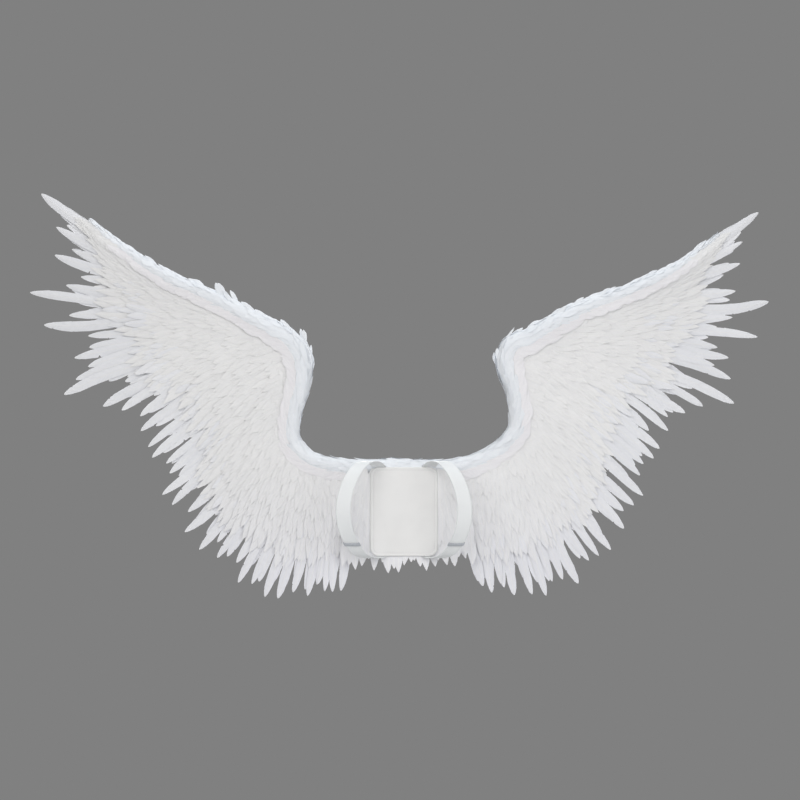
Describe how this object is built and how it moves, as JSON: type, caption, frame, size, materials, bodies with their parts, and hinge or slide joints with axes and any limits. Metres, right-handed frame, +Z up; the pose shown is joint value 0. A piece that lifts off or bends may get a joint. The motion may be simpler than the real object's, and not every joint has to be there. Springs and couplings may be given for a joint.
{
  "type": "feather angel wings",
  "caption": "Pair of spread white feather costume wings on a back plate, worn with two shoulder straps.",
  "frame": {"origin": "middle of the back plate's front face, where it lies on the wearer's back", "axes": "+Z up, -Y towards the wearer's front, +X towards the wearer's left wing tip"},
  "size_m": [2.1338, 0.3367, 1.1546],
  "materials": {
    "flight_feather": "matt white feather",
    "covert_feather": "matt white feather",
    "roll_feather": "soft downy feather",
    "webbing": "woven elastic",
    "plate_cover": "cloth-covered board",
    "slider_plastic": "satin"
  },
  "bodies": {
    "root": {"back_plate": "plate_cover", "centre_feathers_front": "covert_feather", "centre_feathers_back": "covert_feather", "left_leading_edge": "roll_feather", "left_tertials": "flight_feather", "left_secondaries": "flight_feather", "left_primaries": "flight_feather", "left_tertials_second_row": "flight_feather", "left_secondaries_second_row": "flight_feather", "left_primaries_second_row": "flight_feather", "left_front_greater_coverts_inner": "covert_feather", "left_front_greater_coverts_outer": "covert_feather", "left_front_median_coverts_inner": "covert_feather", "left_front_median_coverts_outer": "covert_feather", "left_front_lesser_coverts_inner": "covert_feather", "left_front_lesser_coverts_outer": "covert_feather", "left_back_greater_coverts_inner": "covert_feather", "left_back_greater_coverts_outer": "covert_feather", "left_back_median_coverts_inner": "covert_feather", "left_back_median_coverts_outer": "covert_feather", "left_back_lesser_coverts_inner": "covert_feather", "left_back_lesser_coverts_outer": "covert_feather", "left_shoulder_strap": "webbing", "left_strap_slider": "slider_plastic", "right_leading_edge": "roll_feather", "right_tertials": "flight_feather", "right_secondaries": "flight_feather", "right_primaries": "flight_feather", "right_tertials_second_row": "flight_feather", "right_secondaries_second_row": "flight_feather", "right_primaries_second_row": "flight_feather", "right_front_greater_coverts_inner": "covert_feather", "right_front_greater_coverts_outer": "covert_feather", "right_front_median_coverts_inner": "covert_feather", "right_front_median_coverts_outer": "covert_feather", "right_front_lesser_coverts_inner": "covert_feather", "right_front_lesser_coverts_outer": "covert_feather", "right_back_greater_coverts_inner": "covert_feather", "right_back_greater_coverts_outer": "covert_feather", "right_back_median_coverts_inner": "covert_feather", "right_back_median_coverts_outer": "covert_feather", "right_back_lesser_coverts_inner": "covert_feather", "right_back_lesser_coverts_outer": "covert_feather", "right_shoulder_strap": "webbing", "right_strap_slider": "slider_plastic"}
  },
  "joints": []
}
